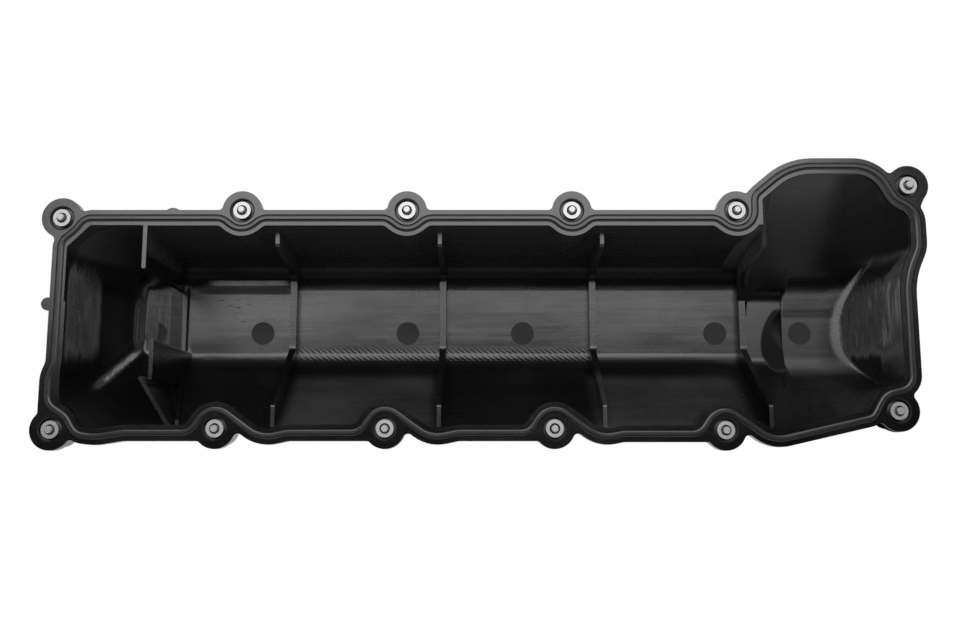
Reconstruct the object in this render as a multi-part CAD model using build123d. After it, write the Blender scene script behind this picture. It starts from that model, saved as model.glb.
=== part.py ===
from build123d import *
import math
import os

# An engine valve cover, moulded in black plastic, seen with its open side up.
# X runs along the cover, Y across it, Z out of the open side.
# Z = 0 is the sealing face of the flange, and the Z axis is that of the second fixing
# of the upper row. All sizes are in millimetres.

# Fixing hardware, from the thread outwards
THREAD_RADIUS = 3.0
THREAD_CLEARANCE = 0.3
SHANK_STEP = 0.4
SHANK_CLEARANCE = 0.25
SLEEVE_WALL = 2.2
SLEEVE_COLLAR_STEP = 3.0
GROMMET_WALL = 1.7
GROMMET_FLANGE_STEP = 4.3
BOSS_WALL = 3.2
BOLT_HEAD_WIDTH = 10.0
BOLT_HEAD_HEIGHT = 4.0
WASHER_MARGIN = 2.0
WASHER_THICKNESS = 1.6

# Fixing hardware, down from the sealing face
BOLT_TIP = 3.3
PILOT_RADIUS = 2.2
PILOT_LENGTH = 3.6
PILOT_CHAMFER = 0.5
SLEEVE_PROUD = 0.5
GROMMET_RECESS = 3.0
BOSS_DEPTH = 21.0
GROMMET_FLANGE = 2.0
SLEEVE_COLLAR = 1.5
SLEEVE_BEAD_LENGTH = 1.5
SLEEVE_BEAD_RISE = 2.0
BOLT_STOP_GAP = 0.2
BOLT_TRAVEL = 10.6
BOSS_BORE_CHAMFER = 0.75
BOSS_WEB_WIDTH = 3.0
BOSS_WEB_REACH = 7.0
BOSS_WEB_STEP = 3.0

# Flange and its groove, from the outer edge inwards: land, groove, lip
LAND_WIDTH = 2.9
GROOVE_WIDTH = 4.7
LIP_WIDTH = 2.5
GROOVE_DEPTH = 4.0
GROOVE_FLOOR = 2.5
EAR_MARGIN = 2.2
CORNER_EAR_MARGIN = 2.5
NOTCH_RADIUS = 3.0
EAR_FILL = 22.0
RIGHT_EAR_FILL = ((10.8, -6.0), (7.0, -14.4), (0.0, -14.4))
SEAL_LAND = 2.15

# Press-in gasket
GASKET_CLEARANCE = 0.2
GASKET_PROUD = 1.0
GASKET_CROWN_WIDTH = 1.6
GASKET_SHOULDER_WIDTH = 3.1
GASKET_SHOULDER_PROUD = 0.7

# Rows of fixings, and the corner fixings stepped off from the row ends
FIXING_PITCH = 105.0
ROW_COUNT = 4
LOWER_ROW_STEP = (-12.3, -138.3)
LAST_LOWER_STEP = (0.6, -1.0)
UPPER_LEFT_STEP = (-114.4, -4.9)
UPPER_RIGHT_STEP = (110.1, 16.4)
LOWER_LEFT_STEP = (-101.6, -0.7)
LOWER_RIGHT_STEP = (107.6, 11.8)

# Seal line, stepped off from the fixings beside it
SEAL_UPPER_INSET = 4.95
SEAL_LOWER_OUTSET = 2.45
SEAL_LEFT_INSET = 0.35
SEAL_LEFT_OUTSET = 3.25
SEAL_RIGHT_OUTSET = 10.25
SEAL_HIGH_OUTSET = 4.65
SEAL_BULGE_OUTSET = 12.75
SEAL_BEND = 10.0
SEAL_EASE = 15.0
LEFT_STEP_TOP = 41.4
LEFT_STEP_LOW = 32.9
LEFT_WAVE = (27.4, 2.75)
LEFT_WAVE_END = 44.9
LEFT_WAVE_EASE = 30.0
RIGHT_STEP_LOW = 59.2
RIGHT_STEP_TOP = 40.5
RIGHT_EASE_LOW = 55.0
RIGHT_EASE_TOP = 17.6
SHOULDER_RADIUS = 14.0
BULGE_RADIUS = 39.75
BULGE_TURN = 24.0
BULGE_NECK = 8.0
BULGE_REACH = 35.1
SLANT_STEP = (-42.6, -10.2)
SLANT_BEND = 7.5
DIP_DROP = 3.6
DIP_RADIUS = 20.0
BASE_STEP = 0.6
CORNER_BEND = 9.0

# Headings of the seal line in degrees, counted from +X
LOWER_CLIMB = 55.6
LOWER_FALL = -36.0
UPPER_FALL = 218.0
UPPER_CLIMB = 142.0
DIP_RISE = 12.0
LEFT_TURN_IN = -33.0
LEFT_TURN_OUT = -59.0
LEFT_WAVE_FALL = -8.0
SLANT_HEADING = 12.9
RIGHT_TURN_IN = 61.0
RIGHT_TURN_OUT = 14.0
SHOULDER_IN = 150.0
SHOULDER_OUT = 118.0
BULGE_SLOPE = 219.8
CORNER_IN = 233.0
CORNER_OUT = 219.0

# Moulded shell: how far each wall starts outside the lip and leans in by the roof
WALL = 3.0
ROOF_DEPTH = 83.0
ROOF_EDGE_RADIUS = 19.0
TUNNEL_CORNER_RADIUS = 23.0
CHAMBER_EDGE_RADIUS = 15.5
CHAMBER_CORNER_RADIUS = 18.0
MOUTH_CORNER_RADIUS = 34.0
WALL_SETBACK = 0.6
LOWER_WALL_SETBACK = 9.5
UPPER_WALL_LEAN = 11.4
LOWER_WALL_LEAN = 56.3
BULGE_WALL_LEAN = 73.0
LEFT_WALL_LEAN = 24.0
RIGHT_WALL_LEAN = 20.0
BULGE_SIDE_LEAN = 6.2
BULGE_SIDE_DEPTH = 25.0

# Low bench along the foot of the slope in the wide end, from the middle of the roof
BENCH_FOOT = -2.25
BENCH_EDGE = 3.75
BENCH_BACK = 13.25
BENCH_HEIGHT = 4.4
BENCH_RISE = 1.0

# Cross ribs inside the shell, one beside each upper fixing
RIB_STEP = 20.5
RIB_EDGE_WIDTH = 2.2
RIB_ROOT_WIDTH = 4.8
RIB_TOP_DEPTH = 13.0
RIB_ROOF_HEIGHT = 7.5
RIB_UPPER_LAND = 20.5
RIB_UPPER_CORNER = 27.6
RIB_LOWER_CORNER = 57.7
RIB_LOWER_LAND = 15.3
RIB_LAND_RADIUS = 2.0
RIB_CORNER_RADIUS = 5.5

# Baffle blades at the left end, stepped off from the left fixings
BLADE_TOP_WIDTH = 2.6
BLADE_ROOT_WIDTH = 4.2
UPPER_BLADE = ((53.3, -1.7), (53.3, -31.4))
MIDDLE_BLADE = ((60.2, 55.4), (60.2, 32.4))
SLANTED_BLADE = ((54.2, 32.0), (73.6, 0.9))
SILL_ROOF_STEP = 56.4
SILL_LIP_STEP = 77.9
SILL_WIDTH = 2.2
SILL_HEIGHT = 3.0
SILL_END = 29.6
SILL_TOP_DEPTH = 4.0

# Wheel pocket across the roof, its ends measured from the last upper fixing, its middle
# and its plan from the middle of the roof, and its axis up from the roof
POCKET_LEFT = 29.5
POCKET_RIGHT = 50.5
POCKET_CENTRE = -9.75
POCKET_AXIS_HEIGHT = 46.0
POCKET_RADIUS_LEFT = 45.5
POCKET_RADIUS_MIDDLE = 46.9
POCKET_RADIUS_RIGHT = 49.4
POCKET_END = 17.0
POCKET_SLANT_TOP = -35.75
POCKET_SLANT_LOW = -79.75
POCKET_WALL = 2.5

# Round pads on the inside of the roof, stepped off from the upper fixings
PAD_RADIUS = 8.2
PAD_DEPTH = 0.3
PAD_LINE = -13.15
PAD_STEPS = (-2.0, -4.5, -28.5, 2.5)
LEFT_PAD_STEP = -78.0
RIGHT_PAD_STEP = 60.0
RIGHT_PAD_RADIUS = 7.0

# Small tab on the left edge and lug on the upper edge
LEFT_TAB_OUTSET = 1.0
LEFT_TAB_DROP = 55.4
LEFT_TAB_RADIUS = 4.1
TOP_LUG_STEP = 70.4
TOP_LUG_PROUD = 1.4
TOP_LUG_RADIUS = 6.4

# Longer than the cover, for cutting solids that run right through it
FAR = 400.0

# Sizes that follow from the ones above
SLEEVE_BORE = THREAD_RADIUS + THREAD_CLEARANCE
SLEEVE_RADIUS = SLEEVE_BORE + SLEEVE_WALL
SHANK_RADIUS = THREAD_RADIUS - SHANK_STEP
SLEEVE_BEAD_RADIUS = SHANK_RADIUS + SHANK_CLEARANCE
WASHER_BORE = SHANK_RADIUS + SHANK_CLEARANCE
WASHER_RADIUS = BOLT_HEAD_WIDTH / 2 + WASHER_MARGIN
BOSS_BORE = SLEEVE_RADIUS + GROMMET_WALL
BOSS_RADIUS = BOSS_BORE + BOSS_WALL
GROMMET_END = -BOSS_DEPTH - GROMMET_FLANGE
SLEEVE_END = GROMMET_END - SLEEVE_COLLAR
UNDER_HEAD = SLEEVE_END - BOLT_TRAVEL - WASHER_THICKNESS
FLANGE_THICKNESS = GROOVE_DEPTH + GROOVE_FLOOR
FLANGE_HALF = LAND_WIDTH + GROOVE_WIDTH / 2
LIP_INNER = GROOVE_WIDTH / 2 + LIP_WIDTH
SEAL_CLEARANCE = BOSS_BORE + SEAL_LAND + GROOVE_WIDTH / 2


def step(place, offset):
    """A place moved by an offset in X and Y."""
    return place[0] + offset[0], place[1] + offset[1]


def row(start):
    """Places of the fixings in one long row."""
    return [step(start, (FIXING_PITCH * i, 0)) for i in range(ROW_COUNT)]


UPPER_ROW = row((-FIXING_PITCH, 0))
LOWER_ROW = row(step(UPPER_ROW[0], LOWER_ROW_STEP))
LOWER_ROW[-1] = step(LOWER_ROW[-1], LAST_LOWER_STEP)
UPPER_LEFT = step(UPPER_ROW[0], UPPER_LEFT_STEP)
UPPER_RIGHT = step(UPPER_ROW[-1], UPPER_RIGHT_STEP)
LOWER_LEFT = step(LOWER_ROW[0], LOWER_LEFT_STEP)
LOWER_RIGHT = step(LOWER_ROW[-1], LOWER_RIGHT_STEP)
CORNERS = [UPPER_LEFT, UPPER_RIGHT, LOWER_LEFT, LOWER_RIGHT]
FIXINGS = UPPER_ROW + LOWER_ROW + CORNERS

SEAL_ABOVE = UPPER_ROW[0][1] - SEAL_UPPER_INSET
SEAL_BELOW = LOWER_ROW[0][1] - SEAL_LOWER_OUTSET
SEAL_LEFT = UPPER_LEFT[0] + SEAL_LEFT_INSET
SEAL_LEFT_LOW = LOWER_LEFT[0] - SEAL_LEFT_OUTSET
SEAL_RIGHT = LOWER_RIGHT[0] + SEAL_RIGHT_OUTSET
SEAL_RIGHT_HIGH = UPPER_RIGHT[0] + SEAL_HIGH_OUTSET
SEAL_BULGE_TOP = UPPER_RIGHT[1] + SEAL_BULGE_OUTSET
SLANT_POINT = step(LOWER_RIGHT, SLANT_STEP)

UPPER_WALL = SEAL_ABOVE - LIP_INNER + WALL_SETBACK
LOWER_WALL = SEAL_BELOW + LIP_INNER - LOWER_WALL_SETBACK
BULGE_WALL = SEAL_BULGE_TOP - LIP_INNER + WALL_SETBACK
LEFT_WALL = SEAL_LEFT + LIP_INNER - WALL_SETBACK
RIGHT_WALL = SEAL_RIGHT_HIGH - LIP_INNER + WALL_SETBACK
BULGE_SIDE = UPPER_ROW[-1][0] + SEAL_CLEARANCE + LIP_INNER
UPPER_WALL_ROOF = UPPER_WALL - UPPER_WALL_LEAN
LOWER_WALL_ROOF = LOWER_WALL + LOWER_WALL_LEAN
ROOF_MIDDLE = (UPPER_WALL_ROOF + LOWER_WALL_ROOF) / 2
ROW_MIDDLE = (UPPER_ROW[0][0] + UPPER_ROW[-1][0]) / 2


def meet(point_a, heading_a, point_b, heading_b):
    """Where two straight lines cross, each given by a point and a heading in degrees."""
    ax, ay = math.cos(math.radians(heading_a)), math.sin(math.radians(heading_a))
    bx, by = math.cos(math.radians(heading_b)), math.sin(math.radians(heading_b))
    across = ax * by - ay * bx
    reach = ((point_b[0] - point_a[0]) * by - (point_b[1] - point_a[1]) * bx) / across
    return point_a[0] + ax * reach, point_a[1] + ay * reach


def beside(fixing, heading):
    """Point of the seal line that passes a fixing with the given heading."""
    angle = math.radians(heading)
    return step(fixing, (-math.sin(angle) * SEAL_CLEARANCE, math.cos(angle) * SEAL_CLEARANCE))


def round_fixing(fixing, arriving, leaving):
    """Corner of the seal line whose arc is concentric with a fixing."""
    x, y = meet(beside(fixing, arriving), arriving, beside(fixing, leaving), leaving)
    return x, y, SEAL_CLEARANCE


def rounded_outline(corners):
    """Closed outline of straight runs and arcs through corners (x, y, radius)."""
    spans = []
    for i, (x, y, radius) in enumerate(corners):
        corner = Vector(x, y)
        back = (Vector(*corners[i - 1][:2]) - corner).normalized()
        ahead = (Vector(*corners[(i + 1) % len(corners)][:2]) - corner).normalized()
        half = math.radians(back.get_angle(ahead)) / 2
        reach = radius / math.tan(half)
        crown = corner + (back + ahead).normalized() * (radius / math.sin(half) - radius)
        spans.append((corner + back * reach, crown, corner + ahead * reach))
    edges = []
    for i, (start, crown, end) in enumerate(spans):
        if start != end:
            edges.append(ThreePointArc(start, crown, end))
        edges.append(Line(end, spans[(i + 1) % len(spans)][0]))
    return Wire(edges)


def left_corners():
    """Seal line down the left side and round the lower left fixing."""
    turn = meet((SEAL_LEFT_LOW, 0), -90, beside(LOWER_LEFT, LEFT_TURN_IN), LEFT_TURN_IN)
    wave = LOWER_LEFT[0] + LEFT_WAVE[0], SEAL_BELOW - LEFT_WAVE[1]
    foot = meet(beside(LOWER_LEFT, LEFT_TURN_OUT), LEFT_TURN_OUT, wave, LEFT_WAVE_FALL)
    return [
        (SEAL_LEFT, LOWER_LEFT[1] + LEFT_STEP_TOP, SEAL_EASE),
        (SEAL_LEFT_LOW, LOWER_LEFT[1] + LEFT_STEP_LOW, SEAL_EASE),
        (*turn, SEAL_BEND),
        round_fixing(LOWER_LEFT, LEFT_TURN_IN, LEFT_TURN_OUT),
        (*foot, SEAL_BEND),
        (*wave, LEFT_WAVE_EASE),
        (LOWER_LEFT[0] + LEFT_WAVE_END, SEAL_BELOW, LEFT_WAVE_EASE),
    ]


def lower_corners():
    """Seal line along the lower side, humped round each fixing."""
    corners = []
    bases = [SEAL_BELOW] * (ROW_COUNT - 1) + [SEAL_BELOW - BASE_STEP]
    for i, fixing in enumerate(LOWER_ROW):
        foot = meet((0, bases[i]), 0, beside(fixing, LOWER_CLIMB), LOWER_CLIMB)
        corners.append((*foot, SEAL_BEND))
        corners.append(round_fixing(fixing, LOWER_CLIMB, LOWER_FALL))
        fall = beside(fixing, LOWER_FALL)
        if fixing == LOWER_ROW[-1]:
            dip = meet(fall, LOWER_FALL, SLANT_POINT, SLANT_HEADING)
            corners.append((*dip, DIP_RADIUS))
        else:
            dip = meet(fall, LOWER_FALL, (0, bases[i] - DIP_DROP), 0)
            rejoin = meet(dip, DIP_RISE, (0, bases[i + 1]), 0)
            corners.append((*dip, DIP_RADIUS))
            corners.append((*rejoin, DIP_RADIUS))
    return corners


def right_corners():
    """Seal line up the right side, past both right fixings and over the bulge."""
    low, high = LOWER_RIGHT, UPPER_RIGHT
    foot = meet(SLANT_POINT, SLANT_HEADING, beside(low, RIGHT_TURN_IN), RIGHT_TURN_IN)
    turn = meet(beside(low, RIGHT_TURN_OUT), RIGHT_TURN_OUT, (SEAL_RIGHT, 0), 90)
    shoulder = meet((SEAL_RIGHT_HIGH, 0), 90, beside(high, SHOULDER_IN), SHOULDER_IN)
    top = meet(beside(high, SHOULDER_OUT), SHOULDER_OUT, (0, SEAL_BULGE_TOP), 180)
    corner = UPPER_ROW[-1][0] + BULGE_REACH, SEAL_BULGE_TOP
    neck = meet(corner, BULGE_SLOPE, beside(UPPER_ROW[-1], 270), 270)
    return [
        (*foot, SLANT_BEND),
        round_fixing(low, RIGHT_TURN_IN, RIGHT_TURN_OUT),
        (*turn, SEAL_BEND),
        (SEAL_RIGHT, high[1] - RIGHT_STEP_LOW, RIGHT_EASE_LOW),
        (SEAL_RIGHT_HIGH, high[1] - RIGHT_STEP_TOP, RIGHT_EASE_TOP),
        (*shoulder, SHOULDER_RADIUS),
        round_fixing(high, SHOULDER_IN, SHOULDER_OUT),
        (*top, BULGE_TURN),
        (*corner, BULGE_RADIUS),
        (*neck, BULGE_NECK),
    ]


def upper_corners():
    """Seal line back along the upper side, dipping under each fixing."""
    corners = []
    for fixing in reversed(UPPER_ROW):
        if fixing == UPPER_ROW[-1]:
            corners.append(round_fixing(fixing, 270, UPPER_CLIMB))
        else:
            arrival = meet((0, SEAL_ABOVE), 180, beside(fixing, UPPER_FALL), UPPER_FALL)
            corners.append((*arrival, SEAL_BEND))
            corners.append(round_fixing(fixing, UPPER_FALL, UPPER_CLIMB))
        foot = meet(beside(fixing, UPPER_CLIMB), UPPER_CLIMB, (0, SEAL_ABOVE), 180)
        corners.append((*foot, SEAL_BEND))
    turn = meet((0, SEAL_ABOVE), 180, beside(UPPER_LEFT, CORNER_IN), CORNER_IN)
    down = meet(beside(UPPER_LEFT, CORNER_OUT), CORNER_OUT, (SEAL_LEFT, 0), 270)
    corners.append((*turn, CORNER_BEND))
    corners.append(round_fixing(UPPER_LEFT, CORNER_IN, CORNER_OUT))
    corners.append((*down, CORNER_BEND))
    return corners


def seal_wire():
    """Centre line of the groove, once round the cover."""
    return rounded_outline(left_corners() + lower_corners() + right_corners() + upper_corners())


SEAL_FACE = make_face(seal_wire())


def seal_offset(amount):
    """Area inside the seal line moved outwards by an amount."""
    return offset(SEAL_FACE, amount)


def rectangle(corner_a, corner_b):
    """Rectangle between two opposite corners."""
    middle = step(corner_a, corner_b)
    size = abs(corner_b[0] - corner_a[0]), abs(corner_b[1] - corner_a[1])
    return Pos(middle[0] / 2, middle[1] / 2) * Rectangle(*size)


def ear_fills():
    """Flange carried straight on to the lower row's ears and to two corner ears."""
    fills = []
    for place in LOWER_ROW:
        edge = SEAL_BELOW - FLANGE_HALF
        if place == LOWER_ROW[-1]:
            edge -= BASE_STEP
        fills.append(rectangle((place[0] - EAR_FILL, edge), place))
    side = SEAL_LEFT_LOW - FLANGE_HALF
    fills.append(rectangle((side, LOWER_LEFT[1]), step(LOWER_LEFT, (0, EAR_FILL))))
    flank = [step(UPPER_RIGHT, place) for place in RIGHT_EAR_FILL]
    fills.append(make_face(Polyline(UPPER_RIGHT, *flank, close=True)))
    return fills


def flange_outline():
    """Outer outline of the flange with its ears, tab and lug."""
    outline = seal_offset(FLANGE_HALF) + ear_fills()
    for place in UPPER_ROW + LOWER_ROW:
        outline += Pos(*place) * Circle(BOSS_RADIUS + EAR_MARGIN)
    for place in CORNERS:
        outline += Pos(*place) * Circle(BOSS_RADIUS + CORNER_EAR_MARGIN)
    outline = offset(offset(outline, NOTCH_RADIUS), -NOTCH_RADIUS)
    tab = SEAL_LEFT - FLANGE_HALF - LEFT_TAB_OUTSET, UPPER_LEFT[1] - LEFT_TAB_DROP
    outline += Pos(*tab) * Circle(LEFT_TAB_RADIUS)
    lug_y = SEAL_ABOVE + FLANGE_HALF + TOP_LUG_PROUD - TOP_LUG_RADIUS
    return outline + Pos(UPPER_LEFT[0] + TOP_LUG_STEP, lug_y) * Circle(TOP_LUG_RADIUS)


def grown(face, amount):
    """A face moved outwards by an amount, or as it is where the amount is nothing."""
    return offset(face, amount) if amount else face


def leaning_space(sides, corner, edge, grow):
    """Space inside four leaning walls, rounded at its corners and round the roof."""
    sheets = []
    for share, radius in ((1 + grow / ROOF_DEPTH, corner), (-1 / 8, MOUTH_CORNER_RADIUS)):
        places = []
        for (place, lean), outward in zip(sides, (-1, 1, -1, 1)):
            moved = grow * math.hypot(1, lean / ROOF_DEPTH) - lean * share
            places.append(place + outward * moved)
        left, right, low, high = places
        middle = Pos((left + right) / 2, (low + high) / 2, -ROOF_DEPTH * share)
        sheets.append(middle * RectangleRounded(right - left, high - low, radius + grow))
    space = loft(sheets, ruled=True)
    return fillet(space.faces().sort_by(Axis.Z)[0].edges(), edge + grow)


def hollow(grow):
    """The inside space of the shell, grown outwards by a wall thickness."""
    lower = LOWER_WALL, LOWER_WALL_LEAN
    tunnel = leaning_space(
        ((LEFT_WALL, LEFT_WALL_LEAN), (FAR, 0), lower, (UPPER_WALL, UPPER_WALL_LEAN)),
        TUNNEL_CORNER_RADIUS, ROOF_EDGE_RADIUS, grow,
    )
    chamber = leaning_space(
        ((LEFT_WALL, 0), (RIGHT_WALL, RIGHT_WALL_LEAN), lower, (BULGE_WALL, BULGE_WALL_LEAN)),
        CHAMBER_CORNER_RADIUS, CHAMBER_EDGE_RADIUS, grow,
    )
    deep = BULGE_SIDE + BULGE_SIDE_LEAN
    side = make_face(Polyline(
        (BULGE_SIDE, FAR), (BULGE_SIDE, 0), (deep, -BULGE_SIDE_DEPTH),
        (deep, -FAR), (FAR, -FAR), (FAR, FAR), close=True,
    ))
    tunnel -= extrude(Plane.XZ * grown(side, -grow), amount=FAR, both=True)
    chamber &= extrude(Plane.XZ * grown(side, grow), amount=FAR, both=True)
    mouth = extrude(seal_offset(grow - LIP_INNER), amount=-2 * ROOF_DEPTH)
    return mouth & (tunnel + chamber)


def rib_profile():
    """Side view of a cross rib: a U that lines the hollow, cut off below the flange."""
    roof = RIB_ROOF_HEIGHT - ROOF_DEPTH
    upper, lower = UPPER_ROW[0][1], LOWER_ROW[0][1]
    return make_face(rounded_outline([
        (-FAR, -RIB_TOP_DEPTH, 0),
        (lower + RIB_LOWER_LAND, -RIB_TOP_DEPTH, RIB_LAND_RADIUS),
        (lower + RIB_LOWER_CORNER, roof, RIB_CORNER_RADIUS),
        (upper - RIB_UPPER_CORNER, roof, RIB_CORNER_RADIUS),
        (upper - RIB_UPPER_LAND, -RIB_TOP_DEPTH, RIB_LAND_RADIUS),
        (FAR, -RIB_TOP_DEPTH, 0),
        (FAR, -FAR, 0),
        (-FAR, -FAR, 0),
    ]))


def drafted_plate(length, edge_width, root_width):
    """Upright plate along local Z that thickens from the flange down to the roof."""
    return extrude(make_face(Polyline(
        (-edge_width / 2, 0), (edge_width / 2, 0),
        (root_width / 2, -ROOF_DEPTH - WALL), (-root_width / 2, -ROOF_DEPTH - WALL), close=True,
    )), amount=length)


def ribs():
    """The cross ribs, one at each fixing pitch."""
    plate = drafted_plate(2 * FAR, RIB_EDGE_WIDTH, RIB_ROOT_WIDTH)
    side = extrude(Plane.YZ * rib_profile(), amount=RIB_ROOT_WIDTH, both=True)
    rib = Plane((0, FAR, 0), x_dir=(1, 0, 0), z_dir=(0, -1, 0)) * plate & side
    return [Pos(place[0] + RIB_STEP) * rib for place in UPPER_ROW]


def blade(start, end):
    """Drafted baffle wall from one point of the plan to another, with round ends."""
    along = Vector(*end) - Vector(*start)
    across = Vector(-along.Y, along.X)
    plane = Plane(Vector(*start), x_dir=across, z_dir=along)
    wall = plane * drafted_plate(along.length, BLADE_TOP_WIDTH, BLADE_ROOT_WIDTH)
    height = ROOF_DEPTH + WALL
    for place in (start, end):
        wall += Pos(*place, -height / 2) * Cone(BLADE_ROOT_WIDTH / 2, BLADE_TOP_WIDTH / 2, height)
    return wall


def blades():
    """The three baffle walls at the left end."""
    upper = blade(*[step(UPPER_LEFT, place) for place in UPPER_BLADE])
    middle = blade(*[step(LOWER_LEFT, place) for place in MIDDLE_BLADE])
    slanted = blade(*[step(LOWER_LEFT, place) for place in SLANTED_BLADE])
    return [upper, middle, slanted]


def sill():
    """Low leaning step across the roof and down the lower wall, under the blades."""
    foot = -ROOF_DEPTH - WALL
    roof_x = LOWER_LEFT[0] + SILL_ROOF_STEP
    lip_x = LOWER_LEFT[0] + SILL_LIP_STEP
    foot_x = roof_x - (lip_x - roof_x) / ROOF_DEPTH * WALL
    half = SILL_WIDTH / 2
    strip = make_face(Polyline(
        (foot_x - half, foot), (foot_x + half, foot), (lip_x + half, 0), (lip_x - half, 0),
        close=True,
    ))
    plate = extrude(Plane.XZ * strip, amount=FAR, both=True)
    low_half = Pos(0, UPPER_LEFT[1] - SILL_END - FAR, -FAR - SILL_TOP_DEPTH) * Box(*[2 * FAR] * 3)
    return (plate & low_half) - hollow(-SILL_HEIGHT)


def bench():
    """Low bench along the foot of the slope in the wide end."""
    top = BENCH_HEIGHT - ROOF_DEPTH
    foot = -ROOF_DEPTH - WALL
    profile = make_face(Polyline(
        (BENCH_FOOT, foot), (BENCH_FOOT, -ROOF_DEPTH), (BENCH_EDGE, top),
        (BENCH_BACK, top + BENCH_RISE), (BENCH_BACK, foot), close=True,
    ))
    start = UPPER_ROW[-1][0] + POCKET_RIGHT
    return Pos(start, ROOF_MIDDLE) * extrude(Plane.YZ * profile, amount=FAR)


def pocket(grow):
    """Wheel-shaped pocket across the roof and down the lower wall, grown by a thickness."""
    left = UPPER_ROW[-1][0] + POCKET_LEFT
    right = UPPER_ROW[-1][0] + POCKET_RIGHT
    centre, height = ROOF_MIDDLE + POCKET_CENTRE, POCKET_AXIS_HEIGHT - ROOF_DEPTH
    rim = ThreePointArc(
        (left - grow, height - POCKET_RADIUS_LEFT - grow),
        ((left + right) / 2, height - POCKET_RADIUS_MIDDLE - grow),
        (right + grow, height - POCKET_RADIUS_RIGHT - grow),
    )
    sides = Polyline(rim @ 1, (right + grow, height), (left - grow, height), rim @ 0)
    plane = Plane((0, centre, 0), x_dir=(1, 0, 0), z_dir=(0, -1, 0))
    wheel = revolve(plane * make_face([rim, sides]), Axis((0, centre, height), (1, 0, 0)))
    plan = make_face(Polyline(
        (left, POCKET_END), (right, POCKET_END), (right, POCKET_SLANT_TOP),
        (left, POCKET_SLANT_LOW), close=True,
    ))
    reach = extrude(grown(plan, grow), amount=-FAR)
    return wheel & Pos(0, ROOF_MIDDLE, -BOSS_DEPTH) * reach


def bosses():
    """Boss and web behind every fixing ear."""
    made = []
    for place in FIXINGS:
        boss = Pos(*place, -BOSS_DEPTH / 2) * Cylinder(BOSS_RADIUS, BOSS_DEPTH)
        inwards = ROOF_MIDDLE - place[1]
        along = math.copysign(inwards, ROW_MIDDLE - place[0]) if place in CORNERS else 0
        turn = math.degrees(math.atan2(inwards, along))
        height = BOSS_DEPTH - BOSS_WEB_STEP
        web = Pos(SEAL_CLEARANCE, 0, -height / 2) * Box(BOSS_WEB_REACH, BOSS_WEB_WIDTH, height)
        made += [boss, Pos(*place) * Rot(0, 0, turn) * web]
    return made


def bore():
    """Through hole of one fixing, with its chamfer at the sealing face."""
    hole = Pos(0, 0, -BOSS_DEPTH) * Cylinder(BOSS_BORE, 2 * BOSS_DEPTH + 2 * WALL)
    lead = BOSS_BORE_CHAMFER
    mouth = Pos(0, 0, -lead / 2) * Cone(BOSS_BORE, BOSS_BORE + lead, lead)
    return hole + mouth


def pads():
    """Shallow round pads sunk in the inside of the roof."""
    start = Pos(0, ROOF_MIDDLE + PAD_LINE, -ROOF_DEPTH)
    pad = start * Cylinder(PAD_RADIUS, 2 * PAD_DEPTH)
    places = [fixing[0] + shift for fixing, shift in zip(UPPER_ROW, PAD_STEPS)]
    made = [Pos(x) * pad for x in [UPPER_ROW[0][0] + LEFT_PAD_STEP] + places]
    last = start * Cylinder(RIGHT_PAD_RADIUS, 2 * PAD_DEPTH)
    return made + [Pos(UPPER_ROW[-1][0] + RIGHT_PAD_STEP) * last]


def cover():
    """The moulded cover as one solid."""
    body = extrude(flange_outline(), amount=-FLANGE_THICKNESS)
    body += [hollow(WALL), pocket(POCKET_WALL)] + bosses()
    body -= [hollow(0), pocket(0)]
    lining = hollow(WALL / 2)
    for piece in ribs() + blades() + [sill(), bench()]:
        body += piece & lining
    groove = seal_offset(GROOVE_WIDTH / 2) - seal_offset(-GROOVE_WIDTH / 2)
    body -= extrude(groove, amount=-GROOVE_DEPTH)
    hole = bore()
    body -= [Pos(*place) * hole for place in FIXINGS]
    return body - pads()


def gasket():
    """Rubber gasket pressed into the groove, with a low round bead above the flange."""
    half, crown = GROOVE_WIDTH / 2 - GASKET_CLEARANCE, GASKET_CROWN_WIDTH / 2
    shoulder = GASKET_SHOULDER_WIDTH / 2
    profile = Polyline(
        (-half, -GROOVE_DEPTH), (half, -GROOVE_DEPTH), (half, 0),
        (shoulder, GASKET_SHOULDER_PROUD), (crown, GASKET_PROUD),
        (-crown, GASKET_PROUD), (-shoulder, GASKET_SHOULDER_PROUD), (-half, 0), close=True,
    )
    wire = seal_wire()
    start = Plane(wire @ 0, x_dir=Vector(0, 0, 1).cross(wire % 0), z_dir=wire % 0)
    return sweep(start * make_face(profile), path=wire)


def turned(points):
    """Solid of revolution about Z from (radius, height) points."""
    return revolve(Plane.XZ * make_face(Polyline(*points, close=True)), Axis.Z)


def grommet():
    """Rubber ring that carries the sleeve in the boss, with a flange below the boss."""
    flange = SLEEVE_RADIUS + GROMMET_FLANGE_STEP
    return turned([
        (SLEEVE_RADIUS, -GROMMET_RECESS), (BOSS_BORE, -GROMMET_RECESS), (BOSS_BORE, -BOSS_DEPTH),
        (flange, -BOSS_DEPTH), (flange, GROMMET_END), (SLEEVE_RADIUS, GROMMET_END),
    ])


def sleeve():
    """Steel sleeve that limits the clamping, with a collar and a retaining bead."""
    collar = SLEEVE_RADIUS + SLEEVE_COLLAR_STEP
    bead_low = SLEEVE_END + SLEEVE_BEAD_RISE
    bead_top = bead_low + SLEEVE_BEAD_LENGTH
    return turned([
        (SLEEVE_BORE, SLEEVE_PROUD), (SLEEVE_RADIUS, SLEEVE_PROUD), (SLEEVE_RADIUS, GROMMET_END),
        (collar, GROMMET_END), (collar, SLEEVE_END), (SLEEVE_BORE, SLEEVE_END),
        (SLEEVE_BORE, bead_low), (SLEEVE_BEAD_RADIUS, bead_low),
        (SLEEVE_BEAD_RADIUS, bead_top), (SLEEVE_BORE, bead_top),
    ])


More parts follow.
